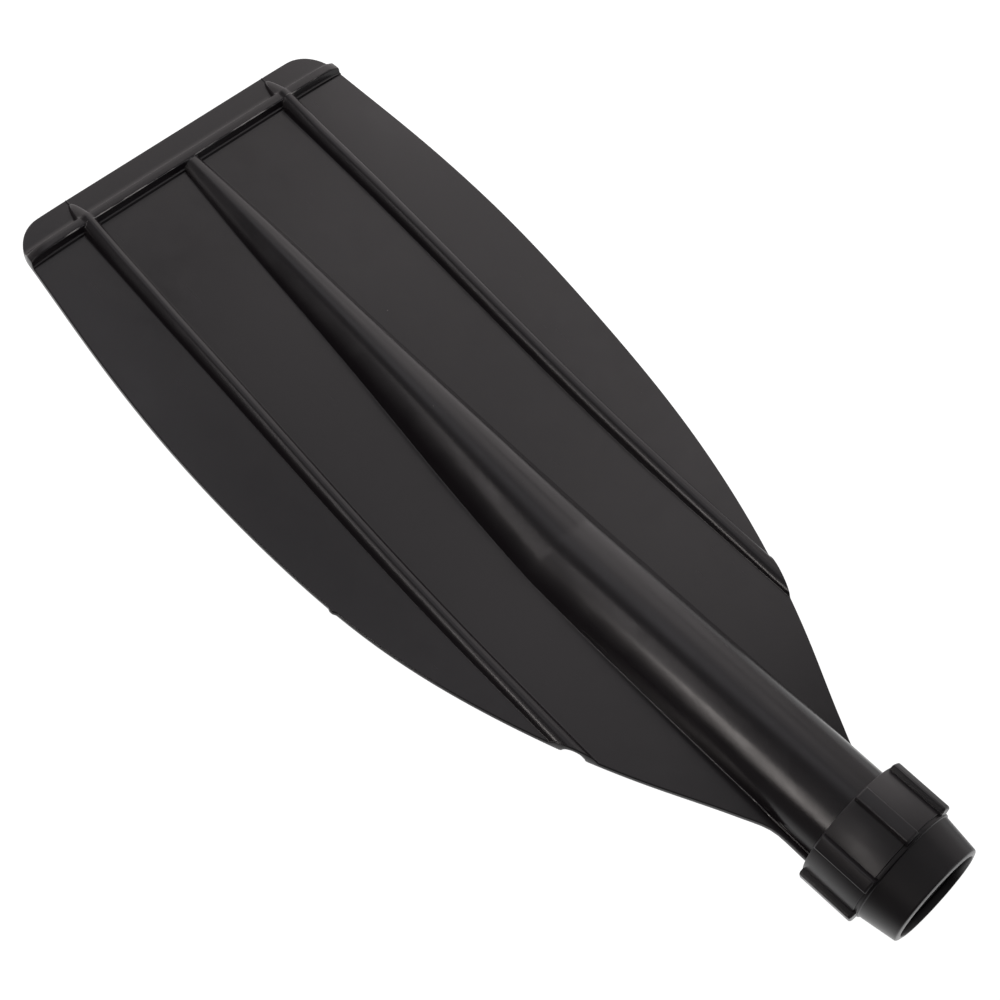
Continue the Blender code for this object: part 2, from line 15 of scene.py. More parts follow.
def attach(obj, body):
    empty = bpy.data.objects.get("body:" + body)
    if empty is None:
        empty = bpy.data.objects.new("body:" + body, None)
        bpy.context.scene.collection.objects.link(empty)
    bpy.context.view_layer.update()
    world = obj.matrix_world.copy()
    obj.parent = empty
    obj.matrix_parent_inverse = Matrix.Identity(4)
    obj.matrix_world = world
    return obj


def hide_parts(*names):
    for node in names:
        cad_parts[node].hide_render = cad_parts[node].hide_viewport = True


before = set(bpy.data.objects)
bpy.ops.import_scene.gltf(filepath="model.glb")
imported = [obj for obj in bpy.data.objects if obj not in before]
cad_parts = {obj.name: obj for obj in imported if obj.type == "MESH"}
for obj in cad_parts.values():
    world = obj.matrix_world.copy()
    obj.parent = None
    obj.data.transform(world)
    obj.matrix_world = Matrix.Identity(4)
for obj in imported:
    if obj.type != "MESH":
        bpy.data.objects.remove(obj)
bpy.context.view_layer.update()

MM = 0.001
SHAFT_AXIS = (1, 0, 0)

# Sizes of the real part
BORE_RADIUS = 17.75
TUBE_RADIUS = 19.75
SKIN_GAP = 0.05             # the turned lower half of the tube lies this far under the upper half
SOCKET_DEPTH = 142.0
STOP_WALL = 3.0
SEAL_GROOVE_START = 139.7
SEAL_GROOVE_RADIUS = 19.9

# Both threads: the ridge's section as (mm along, radius)
THREAD_PITCH = 4.0
THREAD_START = 122.6
THREAD_TURNS = 4
THREAD_ROOT_RADIUS = 20.4
NECK_THREAD = ((0.0, 20.2), (0.7, 21.05), (0.85, 21.2), (1.35, 21.2), (1.5, 21.05), (2.2, 20.2))
NUT_THREAD = ((0.0, 21.7), (0.7, 20.9), (0.85, 20.75), (1.35, 20.75), (1.5, 20.9), (2.2, 21.7))

PLATE_END = 118.9
PLATE_LENGTH = 355.6
TIP = PLATE_END - PLATE_LENGTH
BLADE_HALF_WIDTH = 86.1
TIP_RISE = 38.75
PLATE_THICKNESS = 2.0
TIP_CORNER_RADIUS = 14.5
RIM_ROUND = 0.35            # rounding of the plate's edge, top and under side
OUTER_DROOP = math.radians(4.5)  # how far the plate outside the side ribs turns down at its edge
DROOP_WIDTH = 33.0          # outer width at which it turns down that far
ROOT_FILLET = 0.5           # where the spine stands on the plate

# Half width of the plate: (share of the length from the neck end, share of the full half width)
OUTLINE = ((0.000, 0.258), (0.025, 0.259), (0.040, 0.264), (0.055, 0.286), (0.067, 0.312),
           (0.081, 0.342), (0.152, 0.501), (0.292, 0.754), (0.433, 0.915), (0.573, 0.985),
           (0.714, 1.000), (0.855, 0.955), (0.939, 0.907), (1.000, 0.873))
# Height of the plate's top face: (share of the length, share of the rise at the tip)
CAMBER = ((0.000, -0.048), (0.081, -0.005), (0.152, 0.031), (0.292, 0.103), (0.433, 0.200),
          (0.573, 0.374), (0.714, 0.596), (0.855, 0.807), (1.000, 1.000))

# The stub that the moulding gate leaves on one long edge
GATE_STUB_X = -56.0
GATE_STUB_LENGTH = 1.4
GATE_STUB_HEIGHT = 0.6

KINK = 20.0                 # where the tube's round top begins to fall into the spine
SPINE_WALL = 2.3
SPINE_END_HALF_WIDTH = 4.2
SPINE_END_HEIGHT = 3.8
# The fall from tube to spine's end: (share of the way, share of the width lost, of the height)
SPINE_TAPER = ((0.00, 0.00, 0.00), (0.22, 0.23, 0.05), (0.42, 0.455, 0.28), (0.62, 0.625, 0.58),
               (0.82, 0.78, 0.81), (1.00, 1.00, 1.00))

SIDE_RIB_WIDTH = 7.3
SIDE_RIB_HEIGHT = 4.0
SIDE_RIB_HEAD_HEIGHT = 4.9  # where it meets the cross rib
SIDE_RIB_HEAD_LENGTH = 17.0
SIDE_RIB_END_HEIGHT = 2.7   # where it runs out over the plate's edge
SIDE_RIB_FALL = (205.0, 275.0)  # from the tip, along which it falls to that
SIDE_RIB_WALL = 1.8
SIDE_RIB_TIP_SPACING = 98.2
SIDE_RIB_BEND_SPACING = 102.2
SIDE_RIB_BEND = 63.7
SIDE_RIB_SPREAD = 0.0414    # how much wider apart the ribs get for each mm past the bend
SIDE_RIB_TIP_MARGIN = 2.3
RIB_POINT_LEAST = 0.05      # share of the rib's size left at its very point
RIB_POINT_POWER = 0.6       # under 1, which makes the point a round one

CROSS_RIB_FACE = 14.6       # from the tip to the rib's wall on the shaft's side
CROSS_RIB_CREST = 3.2       # width of its crest
# The cross rib's section: (mm from the tip, mm over the plate), with its ledge at the foot
CROSS_RIB = ((8.1, 0.0), (8.7, 0.08), (9.3, 0.5), (11.0, 3.8), (11.2, 4.02), (11.45, 4.1),
             (13.8, 4.1), (14.1, 4.04), (14.35, 3.88), (14.5, 3.6), (15.0, 1.3), (15.08, 1.12),
             (15.2, 1.05), (15.45, 1.04), (15.6, 0.96), (15.66, 0.78), (15.75, 0.12),
             (15.9, 0.02), (16.2, 0.0))
CROSS_RIB_END_LENGTH = 6.0  # along which the rib falls towards the plate's edge
CROSS_RIB_END_SHARE = 0.55  # share of its height left at the edge
# The edge of the crest that is scuffed and carries a painted highlight:
# least and greatest x, and least z
SCUFFED_AND_HIGHLIT_EDGE = (TIP + 14.1, TIP + 14.4, 40.3)

NUT_BACK = 119.4
NUT_STEP = 144.0
NUT_MOUTH = 159.5
NUT_BORE_RADIUS = 21.5
NUT_BODY_RADIUS = 24.1
FRONT_RING_WIDTH = 1.7      # the lower ring round the front of the nut's body
FRONT_RING_DROP = 0.6
NOSE_WALL = 2.2
# The hollow at the nose's foot: (mm past the step, mm over the nose)
NOSE_FOOT = ((0.05, 0.55), (0.35, 0.1), (1.0, 0.0))
MOUTH_LENGTH = 1.3          # over which the nose rounds into the mouth
MOUTH_ROUND = 0.9
MOUTH_TURN = math.radians(75)
GRIP_RIB_COUNT = 7
GRIP_RIB_HEIGHT = 2.4
GRIP_RIB_FOOT = 6.4         # width where the rib stands on the body
GRIP_RIB_TURN = math.radians(47.8)
GRIP_RIB_TOP_SHARE = 0.83   # width of the rib's top against its foot, as a turn
GRIP_RIB_END_SLOPE = 0.3
GRIP_RIB_EDGE = 0.8

COLLET_START = 143.8
COLLET_END = 156.2
COLLET_INNER = 17.6
COLLET_WALL = 2.8           # at its thick end
COLLET_TAPER = 1.7
COLLET_CLEARANCE = 0.3
COLLET_EASE = 0.2
LIP_START = 156.5           # the nut's lip, in front of the collet
LIP_RADIUS = 18.4

WASHER_START = 142.3
WASHER_END = 143.5
WASHER_RADIUS = 20.4
WASHER_EASE = 0.2
SEAL_MIDDLE = 141.0
SEAL_CENTRE_RADIUS = 18.6
SEAL_SECTION_RADIUS = 1.0
SEAL_PARTING_RIDGE = 0.04

# How finely the meshes are made
MERGE_DISTANCE = 2e-6       # metres
ARC_POINTS = 18
FILLET_POINTS = 6
BEAD_POINTS = 8
CORNER_ROWS = 14
PANEL_SHARES = (0.015, 0.06, 0.18, 0.4, 0.65, 0.85, 0.96, 0.99)
OUTER_SHARES = (0.02, 0.1, 0.3, 0.55, 0.8, 0.94, 0.985, 1.0)
GATE_STUB_ROWS = (-1.6, -1.2, -0.9, -0.5, 0, 0.5, 0.9, 1.2, 1.6)
RIM_TURNS = tuple(math.radians(a) for a in (30, 60, 90))
ROW_LEAST = 0.06            # rows closer together than this are one
ROW_STEP = 3.2
NECK_ROWS = (60.0, 1.6)     # past this x the rows lie this close
TIP_ROWS = (20.0, 1.2)      # and this near the tip
TUBE_STEPS = 128
RING_STEPS = 96
SEAL_POINTS = 24
THREAD_STEPS = 72
NUT_SECTOR_STEPS = 30
NUT_RIB_STEPS = 10
MOUTH_POINTS = 8


def smooth(points):
    """A natural cubic curve through a short list of (x, y) points."""
    x = np.array([point[0] for point in points])
    y = np.array([point[1] for point in points])
    step = np.diff(x)
    slope = np.diff(y) / step
    matrix = np.eye(len(x))
    load = np.zeros(len(x))
    for i in range(1, len(x) - 1):
        matrix[i, i - 1:i + 2] = step[i - 1], 2 * (step[i - 1] + step[i]), step[i]
        load[i] = 6 * (slope[i] - slope[i - 1])
    bend = np.linalg.solve(matrix, load)

    def curve(at):
        i = int(np.clip(np.searchsorted(x, at) - 1, 0, len(x) - 2))
        left = (x[i + 1] - at) / step[i]
        right = 1 - left
        chord = left * y[i] + right * y[i + 1]
        sag = (left ** 3 - left) * bend[i] + (right ** 3 - right) * bend[i + 1]
        return chord + sag * step[i] ** 2 / 6

    return curve


outline_curve = smooth(OUTLINE)
camber_curve = smooth(CAMBER)
spine_width_curve = smooth([(way, width) for way, width, height in SPINE_TAPER])
spine_height_curve = smooth([(way, height) for way, width, height in SPINE_TAPER])


def plate_top(x):
    return TIP_RISE * camber_curve((PLATE_END - x) / PLATE_LENGTH)


def plate_half_width(x):
    return BLADE_HALF_WIDTH * outline_curve((PLATE_END - x) / PLATE_LENGTH)


# Work in edit mode
def deselect_all():
    for obj in bpy.context.selected_objects:
        obj.select_set(False)


def pick(obj):
    """Makes one object the only selected one, and the active one."""
    deselect_all()
    obj.select_set(True)
    bpy.context.view_layer.objects.active = obj


def open_edit(obj, mode="VERT"):
    pick(obj)
    bpy.ops.object.mode_set(mode="EDIT")
    bpy.ops.mesh.select_mode(type=mode)
    bpy.ops.mesh.select_all(action="DESELECT")


def close_edit():
    bpy.ops.object.mode_set(mode="OBJECT")


def merge_all():
    bpy.ops.mesh.select_all(action="SELECT")
    bpy.ops.mesh.remove_doubles(threshold=MERGE_DISTANCE)


def select_by(obj, test, kind):
    """Selects the edges or the faces for which the test says yes, in edit mode."""
    bm = bmesh.from_edit_mesh(obj.data)
    bpy.ops.mesh.select_all(action="DESELECT")
    for item in getattr(bm, kind):
        if test(item):
            item.select_set(True)
    bm.select_flush_mode()
    bmesh.update_edit_mesh(obj.data)


def tidy_shell(obj, angle=40.0):
    """Merged doubles, outward normals and smooth shading that keeps the sharp edges."""
    open_edit(obj)
    merge_all()
    bpy.ops.mesh.select_all(action="SELECT")
    bpy.ops.mesh.delete_loose(use_faces=False)
    bpy.ops.mesh.select_all(action="SELECT")
    bpy.ops.mesh.normals_make_consistent(inside=False)
    close_edit()
    bpy.ops.object.shade_smooth_by_angle(angle=math.radians(angle))


def started(name):
    """The primitive that was just added, under its new name."""
    obj = bpy.context.object
    obj.name = name
    obj.data.name = name
    return obj


def closed_outline(name, outline, turn=math.pi / 2):
    """A circle primitive with one vertex for each (x, radius) of an outline, which it is laid on
    in the half plane at that turn round the shaft's axis from +Y."""
    across, up = math.cos(turn), math.sin(turn)
    deselect_all()
    bpy.ops.mesh.primitive_circle_add(vertices=len(outline), radius=MM)
    loop = started(name)
    loop.data.vertices.foreach_set("co", [c * MM for x, radius in outline
                                          for c in (x, radius * across, radius * up)])
    return loop


def spun(name, outline, steps):
    """A ring turned about the shaft's axis from its closed outline."""
    ring = closed_outline(name, outline)
    open_edit(ring, "EDGE")
    bpy.ops.mesh.select_all(action="SELECT")
    bpy.ops.mesh.spin(steps=steps, angle=2 * math.pi, center=(0, 0, 0), axis=SHAFT_AXIS)
    close_edit()
    tidy_shell(ring)
    return ring


def applied(obj, kind, **settings):
    """Adds a modifier with its settings and applies it."""
    modifier = obj.modifiers.new(kind, kind)
    for name, value in settings.items():
        setattr(modifier, name, value)
    pick(obj)
    bpy.ops.object.modifier_apply(modifier=modifier.name)


# The blade's sections
def spine_arc(x):
    """Radius of the tube's top or of the spine's arch, and its height over the plate."""
    at = max(x, -KINK)
    z = plate_top(at)
    width = math.sqrt(TUBE_RADIUS ** 2 - z ** 2)
    height = TUBE_RADIUS - z
    if x < -KINK:
        way = min((-KINK - x) / (-KINK - TIP - CROSS_RIB_FACE), 1.0)
        width = width + (SPINE_END_HALF_WIDTH - width) * spine_width_curve(way)
        height = height + (SPINE_END_HEIGHT - height) * spine_height_curve(way)
    return (width ** 2 + height ** 2) / (2 * height), height


def spine_fade(x):
    """1 along the spine, and down to 0 where it ends under the cross rib's crest."""
    return float(np.interp(x - TIP, (CROSS_RIB_FACE - CROSS_RIB_CREST, CROSS_RIB_FACE), (0, 1)))


def rounded_arch(radius, centre, floor, fillet):
    """From the middle of an arch out to where it runs into the floor line through a fillet. An
    arch of more than half a circle goes straight down from its widest place."""
    rise = floor + fillet - centre
    foot = math.sqrt((radius + fillet) ** 2 - rise ** 2) if rise > 0 else radius + fillet
    reach = math.atan2(foot, max(rise, 0.0))
    arc = [(radius * math.sin(a), centre + radius * math.cos(a))
           for a in np.linspace(0.0, reach, ARC_POINTS)]
    start = math.atan2(min(-rise, 0.0), -foot)
    bend = [(foot + fillet * math.cos(a), floor + fillet + fillet * math.sin(a))
            for a in np.linspace(start, -math.pi / 2, FILLET_POINTS)[1 if rise > 0 else 0:]]
    return arc + bend[-FILLET_POINTS + 1:]


def bead(line, half, floor, height, foot):
    """Over a half-round rib with eased feet, from its inner to its outer side."""
    low = math.radians(14)      # where the round leaves off and the foot begins
    side = [(half * math.cos(a), height * math.sin(a))
            for a in np.linspace(low, math.pi / 2, BEAD_POINTS)]
    corner = half * math.cos(low) + height * math.sin(low) * half * math.tan(low) / height
    points = []
    for t in (1.0, 0.7, 0.4, 0.18):
        left = 1 - t
        points.append((left ** 2 * side[0][0] + 2 * t * left * corner + t * t * (corner + foot),
                       left ** 2 * side[0][1]))
    points += side
    return ([(line - d, floor + z) for d, z in points]
            + [(line + d, floor + z) for d, z in reversed(points[:-1])])


def side_rib_line(x):
    """How far the side rib's middle lies from the blade's."""
    from_tip = x - TIP
    if from_tip < SIDE_RIB_BEND:
        spacing = np.interp(from_tip, (SIDE_RIB_TIP_MARGIN, SIDE_RIB_BEND),
                            (SIDE_RIB_TIP_SPACING, SIDE_RIB_BEND_SPACING))
    else:
        spacing = SIDE_RIB_BEND_SPACING + SIDE_RIB_SPREAD * (from_tip - SIDE_RIB_BEND)
    return spacing / 2


def side_rib_fullness(x):
    """1 along the side rib, and less beyond the cross rib, where it runs out in a round point."""
    crest_end = CROSS_RIB_FACE - CROSS_RIB_CREST
    way = float(np.interp(x - TIP, (SIDE_RIB_TIP_MARGIN, crest_end), (0.0, 1.0)))
    return RIB_POINT_LEAST + (1 - RIB_POINT_LEAST) * way ** RIB_POINT_POWER


def side_rib_height(x):
    places = (CROSS_RIB_FACE, CROSS_RIB_FACE + SIDE_RIB_HEAD_LENGTH, *SIDE_RIB_FALL)
    heights = (SIDE_RIB_HEAD_HEIGHT, SIDE_RIB_HEIGHT, SIDE_RIB_HEIGHT, SIDE_RIB_END_HEIGHT)
    return np.interp(x - TIP, places, heights) * side_rib_fullness(x)


def cross_rib_height(x, y, edge):
    """The cross rib over the plate. Near the plate's edge it falls in a soft curve."""
    height = float(np.interp(x - TIP, [p[0] for p in CROSS_RIB], [p[1] for p in CROSS_RIB]))
    way = min(max((y - edge) / CROSS_RIB_END_LENGTH + 1.0, 0.0), 1.0)
    return height * (1.0 - (1.0 - CROSS_RIB_END_SHARE) * way * way)


def side_rib_top(x):
    full = side_rib_fullness(x)
    foot = 0.25 * full
    return bead(side_rib_line(x), SIDE_RIB_WIDTH / 2 * full, 0.0, side_rib_height(x), foot)


def side_rib_hollow(x):
    full = side_rib_fullness(x)
    foot, least = 0.4 * full, 0.15
    half = max(SIDE_RIB_WIDTH / 2 * full - SIDE_RIB_WALL, least)
    height = (side_rib_height(x) + PLATE_THICKNESS - SIDE_RIB_WALL) * full ** 2
    return bead(side_rib_line(x), half, -PLATE_THICKNESS, height, foot)


def spine_top(x):
    radius, height = spine_arc(x)
    arch = rounded_arch(radius, height - radius, 0.0, min(ROOT_FILLET, 0.4 * height))
    return [(y, z * spine_fade(x)) for y, z in arch]


def spine_hollow(x):
    """Under the spine. Along the socket it clears the bore, which the turned tube has."""
    radius, height = spine_arc(x)
    fillet, bore_gap, least_radius, least_depth = 0.4, 0.15, 0.6, 0.3
    centre = height - radius
    inner = BORE_RADIUS + bore_gap if x > -STOP_WALL else max(radius - SPINE_WALL, least_radius)
    floor = -PLATE_THICKNESS
    if inner <= abs(centre - floor) + 0.05:
        centre = floor + least_depth - inner
    arch = rounded_arch(inner, centre, floor, fillet)
    return [(y, floor + (z - floor) * spine_fade(x)) for y, z in arch]


def corner_place():
    """The tip corner's centre, and how far its arc turns before it runs into the side."""
    corner_x, reach = TIP + TIP_CORNER_RADIUS, 5.0
    slope = (plate_half_width(corner_x + reach) - plate_half_width(corner_x)) / reach
    lean = math.atan(slope)
    touch = plate_half_width(corner_x - TIP_CORNER_RADIUS * math.sin(lean))
    return corner_x, touch - TIP_CORNER_RADIUS * math.cos(lean), math.pi / 2 - lean


CORNER_X, CORNER_Y, CORNER_TURN = corner_place()


def droop(x, y, edge):
    """How far the plate outside a side rib has bent down, as it does when the moulding cools."""
    line = side_rib_line(x)
    width = edge - line
    if y < line or width < 1.0:
        return 0.0
    return math.tan(OUTER_DROOP) * min(width / DROOP_WIDTH, 1.0) * (y - line) ** 2 / width / 2


def rim(x, side):
    """Where the rounding of the edge starts at x, and the way out of the edge in plan."""
    inset = TIP_CORNER_RADIUS - RIM_ROUND
    if x < CORNER_X - inset * math.cos(CORNER_TURN):
        turn = math.acos(min(1.0, (CORNER_X - x) / inset))
        return CORNER_Y + inset * math.sin(turn), (-math.cos(turn), math.sin(turn))
    slope = (plate_half_width(x + 0.5) - plate_half_width(x - 0.5))
    length = math.hypot(1.0, slope)
    width = plate_half_width(x) - RIM_ROUND * length
    if side < 0:
        width += GATE_STUB_HEIGHT * math.exp(-((x - GATE_STUB_X) / GATE_STUB_LENGTH) ** 4)
    return width, (-slope / length, 1.0 / length)


def half_section(x, side, parts):
    """Half a section as (y, z over the plate), cut off at the rim."""
    edge = rim(x, side)[0]
    arch, rib = parts[0](x), parts[1](x)
    start, end = arch[-1][0], min(rib[0][0], edge)
    panel = [(start + (end - start) * share, arch[-1][1]) for share in PANEL_SHARES]
    start = min(rib[-1][0], edge)
    outer = [(start + (edge - start) * share, rib[-1][1]) for share in OUTER_SHARES]
    points = arch + panel + rib + outer
    ys = [y for y, z in points]
    zs = [z for y, z in points]
    at_edge = float(np.interp(edge, ys[:-len(outer)], zs[:-len(outer)]))
    return [(y, z) if y < edge - 1e-6 else (edge, at_edge) for y, z in points]


def crossing(point, parts):
    """The x at which one point of the rib's section crosses the rim, found by halving."""
    low, high, halvings = -40.0, PLATE_END, 40
    for _ in range(halvings):
        middle = (low + high) / 2
        if parts[1](middle)[point][0] < rim(middle, 1)[0]:
            low = middle
        else:
            high = middle
    return low


TOP_PARTS = (spine_top, side_rib_top)
UNDER_PARTS = (spine_hollow, side_rib_hollow)


def station_list():
    """The x of each row of the sheet: close where the form changes, wider between."""
    fixed = [CORNER_X - (TIP_CORNER_RADIUS - RIM_ROUND) * math.cos(a)
             for a in np.linspace(0.0, CORNER_TURN, CORNER_ROWS)]
    fixed += [TIP + from_tip for from_tip, height in CROSS_RIB]
    fixed += [TIP + SIDE_RIB_TIP_MARGIN, TIP + SIDE_RIB_TIP_MARGIN + 0.5,
              TIP + CROSS_RIB_FACE + SIDE_RIB_HEAD_LENGTH, TIP + SIDE_RIB_BEND,
              -KINK, -KINK - 1.5, -KINK + 1.5, -STOP_WALL, 0.1 - STOP_WALL, PLATE_END]
    fixed += [crossing(point, parts) for parts in (TOP_PARTS, UNDER_PARTS)
              for point in range(len(parts[1](0.0)))]
    fixed += [GATE_STUB_X + GATE_STUB_LENGTH * k for k in GATE_STUB_ROWS]
    fixed.sort()
    kept = fixed[:1]
    for x in fixed[1:]:
        if x - kept[-1] > ROW_LEAST:
            kept.append(x)
    places = []
    for start, end in zip(kept, kept[1:]):
        step = ROW_STEP
        if start > NECK_ROWS[0]:
            step = NECK_ROWS[1]
        elif start < TIP + TIP_ROWS[0]:
            step = TIP_ROWS[1]
        pieces = max(1, math.ceil((end - start) / step))
        places += [start + (end - start) * i / pieces for i in range(pieces)]
    return places + [kept[-1]]


def edge_drop(turn, sign):
    """How far the edge's rounding has come down after that turn, or up on the under side."""
    return sign * RIM_ROUND * (1 - math.cos(turn))


def section_row(x, parts, top):
    """One row across the moulding, from edge to edge with both roundings."""
    sign = 1.0 if top else -1.0
    base = plate_top(x)
    row = []
    for side in (-1, 1):
        edge, out = rim(x, side)
        points = []
        for y, z in half_section(x, side, parts):
            z = max(z, cross_rib_height(x, y, edge)) if top else z
            points.append((x, side * y, base - droop(x, y, edge) + z))
        y, z = side * points[-1][1], points[-1][2]
        for turn in RIM_TURNS:
            points.append((x + out[0] * RIM_ROUND * math.sin(turn),
                           side * (y + out[1] * RIM_ROUND * math.sin(turn)),
                           z - edge_drop(turn, sign)))
        row += list(reversed(points)) if side < 0 else points[1:]
    return row


def sheet_rows(xs, parts, top):
    """All rows of one side of the moulding, its rounded edge included, as an array of points."""
    rows = [section_row(x, parts, top) for x in xs]
    sign = 1.0 if top else -1.0
    levels = len(RIM_TURNS)
    first = np.array(rows[0])
    tip_rows = []
    for level in range(levels, 0, -1):
        turn = RIM_TURNS[level - 1]
        row = first.copy()
        inner = slice(levels, len(row) - levels)
        row[inner] += (-RIM_ROUND * math.sin(turn), 0.0, -edge_drop(turn, sign))
        for end in (0, 1):
            corner = first[levels] if end == 0 else first[-levels - 1]
            for k in range(1, levels + 1):
                deep = RIM_TURNS[max(level, k) - 1]
                at = levels - k if end == 0 else len(row) - levels - 1 + k
                row[at] = corner + (-RIM_ROUND * math.sin(deep), 0.0, -edge_drop(deep, sign))
        tip_rows.append(row)
    return np.array(tip_rows + rows)


def laid_sheet(name, points):
    """A grid primitive whose vertices are laid on the rows of points. The blade's curved and
    ribbed faces can't be had from hand operators, so the rows come from its sections."""
    rows, columns = points.shape[:2]
    deselect_all()
    bpy.ops.mesh.primitive_grid_add(x_subdivisions=columns - 1, y_subdivisions=rows - 1, size=MM)
    sheet = started(name)
    assert len(sheet.data.vertices) == rows * columns
    sheet.data.vertices.foreach_set("co", (points * MM).ravel())
    open_edit(sheet)
    merge_all()
    close_edit()
    return sheet


def make_blade_moulding():
    """Blade, ribs, spine and the socket's upper half: two laid sheets, the upper one with a row
    more all round, which is the edge's upright wall and meets the under sheet."""
    xs = station_list()
    upper = sheet_rows(xs, TOP_PARTS, True)
    lower = sheet_rows(xs, UNDER_PARTS, False)
    walled = np.empty((upper.shape[0] + 2, upper.shape[1] + 2, 3))
    walled[1:-1, 1:-1] = upper
    for at in (0, -1):
        walled[at, 1:-1] = lower[at]
        walled[1:-1, at] = lower[:, at]
        walled[at, 0] = lower[at, 0]
        walled[at, -1] = lower[at, -1]
    top = laid_sheet("blade_moulding", walled)
    under = laid_sheet("blade_under", lower)
    pick(top)
    under.select_set(True)
    bpy.ops.object.join()
    tidy_shell(top, angle=38.0)
    return top


# The turned pieces
def make_socket_tube():
    """The socket's lower half, stop wall, bore and threaded neck, as one turned body."""
    skin = TUBE_RADIUS - SKIN_GAP
    chamfer, ease, middle = 0.4, 0.3, 60.0
    outline = [(-STOP_WALL, 0.0), (-STOP_WALL, skin - chamfer), (chamfer - STOP_WALL, skin),
               (middle, skin), (PLATE_END + ease, skin), (PLATE_END + 1.6, THREAD_ROOT_RADIUS),
               (SOCKET_DEPTH - 0.5, THREAD_ROOT_RADIUS),
               (SOCKET_DEPTH - 0.15, THREAD_ROOT_RADIUS - 0.12),
               (SOCKET_DEPTH, THREAD_ROOT_RADIUS - ease),
               (SOCKET_DEPTH, SEAL_GROOVE_RADIUS + 0.1), (SOCKET_DEPTH - 0.1, SEAL_GROOVE_RADIUS),
               (SEAL_GROOVE_START, SEAL_GROOVE_RADIUS), (SEAL_GROOVE_START, BORE_RADIUS + ease),
               (SEAL_GROOVE_START - ease, BORE_RADIUS), (middle, BORE_RADIUS),
               (0.6, BORE_RADIUS), (0.15, BORE_RADIUS - 0.2), (0.0, BORE_RADIUS - 0.6), (0.0, 0.0)]
    return spun("socket_tube", outline, TUBE_STEPS)


def make_thread(name, section, start):
    """A right-hand thread: its section screwed along the axis, with both ends closed."""
    ridge = closed_outline(name, [(start + x, radius) for x, radius in section])
    applied(ridge, "SCREW", axis="X", angle=2 * math.pi, screw_offset=THREAD_PITCH * MM,
            iterations=THREAD_TURNS, steps=THREAD_STEPS, render_steps=THREAD_STEPS)
    open_edit(ridge, "EDGE")
    bpy.ops.mesh.select_non_manifold(extend=False, use_wire=False, use_boundary=True,
                                     use_multi_face=False, use_non_contiguous=False,
                                     use_verts=False)
    bpy.ops.mesh.edge_face_add()
    close_edit()
    tidy_shell(ridge, angle=30.0)
    return ridge


def nut_inner_radius(x):
    """The cone inside the nut's nose, which presses on the collet."""
    way = (x - COLLET_START) / (COLLET_END - COLLET_START)
    return COLLET_INNER + COLLET_WALL - COLLET_TAPER * way + COLLET_CLEARANCE


BODY_START = NUT_BACK + 0.5
BODY_FRONT = NUT_STEP - FRONT_RING_WIDTH
RING_FRONT = NUT_STEP - 0.35
RING_RADIUS = NUT_BODY_RADIUS - FRONT_RING_DROP
NUT_SECTOR = 2 * math.pi / GRIP_RIB_COUNT
HALF_RIB_TURN = math.asin(GRIP_RIB_FOOT / 2 / NUT_BODY_RADIUS)


def nut_outline():
    """The nut's section as (x, radius): over the body, ring and nose, and back inside."""
    outline = [(NUT_BACK, NUT_BODY_RADIUS - 0.5), (NUT_BACK + 0.15, NUT_BODY_RADIUS - 0.15),
               (BODY_START, NUT_BODY_RADIUS), (BODY_FRONT, NUT_BODY_RADIUS),
               (BODY_FRONT + 0.15, NUT_BODY_RADIUS - 0.12), (BODY_FRONT + 0.2, RING_RADIUS),
               (RING_FRONT, RING_RADIUS), (NUT_STEP - 0.1, RING_RADIUS - 0.1),
               (NUT_STEP, RING_RADIUS - 0.35)]
    nose_radius = nut_inner_radius(NUT_STEP + NOSE_FOOT[-1][0]) + NOSE_WALL
    outline += [(NUT_STEP + past, nose_radius + over) for past, over in NOSE_FOOT]
    end = NUT_MOUTH - MOUTH_LENGTH
    end_radius = nut_inner_radius(end) + NOSE_WALL
    outline.append((end, end_radius))
    for a in np.linspace(0.0, MOUTH_TURN, MOUTH_POINTS)[1:]:
        outline.append((end + MOUTH_ROUND * math.sin(a),
                        end_radius - MOUTH_ROUND * (1 - math.cos(a))))
    return outline + [
        (NUT_MOUTH - 0.03, LIP_RADIUS + 0.45), (NUT_MOUTH - 0.12, LIP_RADIUS + 0.1),
        (NUT_MOUTH - 0.35, LIP_RADIUS), (LIP_START + 0.2, LIP_RADIUS),
        (LIP_START, LIP_RADIUS + 0.2), (LIP_START, nut_inner_radius(LIP_START)),
        (COLLET_START + 0.2, nut_inner_radius(COLLET_START)),
        (COLLET_START + 0.2, NUT_BORE_RADIUS), (NUT_BACK + 0.6, NUT_BORE_RADIUS),
        (NUT_BACK, NUT_BORE_RADIUS + 0.6)]


